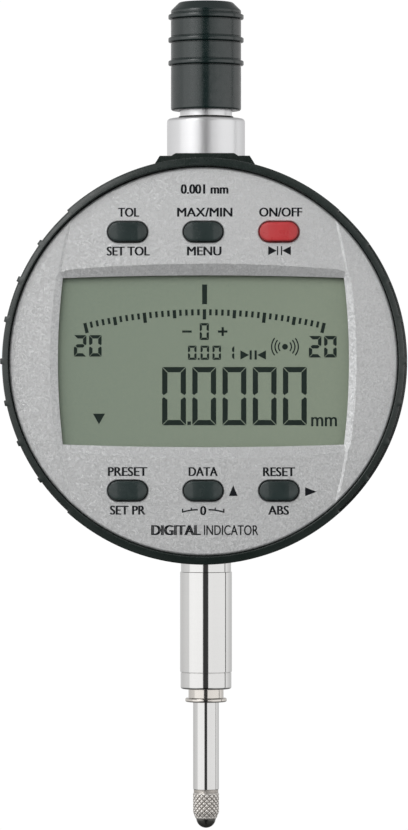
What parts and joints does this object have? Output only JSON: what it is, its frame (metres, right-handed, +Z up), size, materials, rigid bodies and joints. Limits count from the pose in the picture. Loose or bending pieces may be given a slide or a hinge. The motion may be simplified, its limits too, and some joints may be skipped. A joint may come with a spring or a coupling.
{
  "type": "dial indicator",
  "caption": "Digital plunger indicator: round turning display head with keys, smooth clamping shank, sprung spindle with ball contact and ribbed lifting cap.",
  "frame": {"origin": "middle of the clamping shank's length, on the spindle's axis", "axes": "+Z up along the spindle towards the lifting cap, -Y towards the reader of the display, +X to the reader's right"},
  "size_m": [0.0616, 0.026, 0.127],
  "materials": {
    "housing_plastic": "fine satin, moulded",
    "bezel_plastic": "satin, moulded",
    "face_paint": "silver metallic lacquer with fine flakes",
    "button_grey": "satin",
    "button_red": "satin",
    "window_clear": "clear hard-coated window",
    "lcd_glass": "grey-green reflective liquid crystal",
    "ground_steel": "ground and lapped, bright",
    "satin_nickel": "satin nickel plate",
    "carbide": "polished dark carbide",
    "screw_steel": "machined",
    "bearing_bronze": "sintered",
    "black_rubber": "matt",
    "arm_alloy": "machined",
    "scale_glass": "coated glass",
    "board_green": "solder mask",
    "chip_black": "moulded epoxy",
    "flex_amber": "polyimide film",
    "cell_steel": "nickel-plated steel",
    "contact_gold": "gold flash",
    "spring_wire": "drawn wire",
    "mat_grey": "silicone"
  },
  "bodies": {
    "housing": {"rear_housing": "housing_plastic", "back_cover": "housing_plastic", "cover_gasket": "black_rubber", "cover_screws": "screw_steel", "shank": "ground_steel", "shank_nut": "screw_steel", "lower_bush": "bearing_bronze", "wiper_sleeve": "ground_steel", "wiper_seal": "black_rubber", "stop_buffer": "black_rubber", "upper_collar": "satin_nickel", "collar_screw": "screw_steel", "guide_tube": "ground_steel", "upper_bush": "bearing_bronze", "collar_seal": "black_rubber", "guide_rail": "arm_alloy", "rail_screws": "screw_steel", "sensor_board": "board_green", "reader_chip": "chip_black", "sensor_screws": "screw_steel", "flex_cable": "flex_amber", "battery": "cell_steel", "battery_contacts": "contact_gold", "stop_pin": "screw_steel", "retaining_ring": "spring_wire", "friction_ring": "black_rubber", "data_socket": "chip_black", "port_plug": "housing_plastic", "spring_pin": "screw_steel", "measuring_spring": "spring_wire"},
    "lid": {"battery_lid": "housing_plastic", "lid_seal": "black_rubber"},
    "plunger": {"spindle": "ground_steel", "contact_point": "ground_steel", "contact_ball": "carbide", "guide_arm": "arm_alloy", "arm_screw": "screw_steel", "guide_pin": "screw_steel", "measuring_scale": "scale_glass", "stop_collar": "arm_alloy", "lift_cap": "bezel_plastic", "cap_insert": "bearing_bronze"},
    "head": {"bezel": "bezel_plastic", "face_plate": "face_paint", "window_lens": "window_clear", "lcd_panel": "lcd_glass", "lcd_frame": "chip_black", "zebra_strips": "mat_grey", "main_board": "board_green", "board_chips": "chip_black", "tact_switches": "screw_steel", "keypad_mats": "mat_grey", "head_back": "housing_plastic", "head_screws": "screw_steel"},
    "key_mode": {"button_mode": "button_grey"},
    "key_hold": {"button_hold": "button_grey"},
    "key_power": {"button_power": "button_red"},
    "key_set": {"button_set": "button_grey"},
    "key_data": {"button_data": "button_grey"},
    "key_zero": {"button_zero": "button_grey"}
  },
  "joints": [
    {"name": "plunger_slide", "type": "slide", "parent": "housing", "child": "plunger", "axis": [0, 0, 1], "range_m": [0, 0.0125], "stiffness_N_per_m": 20, "springref_m": -0.025, "deforming": ["measuring_spring"]},
    {"name": "head_turn", "type": "hinge", "parent": "housing", "child": "head", "pos_m": [0, -0.01, 0.0399], "axis": [0, -1, 0], "range_deg": [-140, 140]},
    {"name": "lid_turn", "type": "hinge", "parent": "housing", "child": "lid", "pos_m": [0, 0.009, 0.0399], "axis": [0, 1, 0], "range_deg": [0, 35]},
    {"name": "mode_press", "type": "slide", "parent": "head", "child": "key_mode", "axis": [0, 1, 0], "range_m": [0, 0.0005], "stiffness_N_per_m": 600, "springref_m": -0.0008},
    {"name": "hold_press", "type": "slide", "parent": "head", "child": "key_hold", "axis": [0, 1, 0], "range_m": [0, 0.0005], "stiffness_N_per_m": 600, "springref_m": -0.0008},
    {"name": "power_press", "type": "slide", "parent": "head", "child": "key_power", "axis": [0, 1, 0], "range_m": [0, 0.0005], "stiffness_N_per_m": 600, "springref_m": -0.0008},
    {"name": "set_press", "type": "slide", "parent": "head", "child": "key_set", "axis": [0, 1, 0], "range_m": [0, 0.0005], "stiffness_N_per_m": 600, "springref_m": -0.0008},
    {"name": "data_press", "type": "slide", "parent": "head", "child": "key_data", "axis": [0, 1, 0], "range_m": [0, 0.0005], "stiffness_N_per_m": 600, "springref_m": -0.0008},
    {"name": "zero_press", "type": "slide", "parent": "head", "child": "key_zero", "axis": [0, 1, 0], "range_m": [0, 0.0005], "stiffness_N_per_m": 600, "springref_m": -0.0008}
  ]
}
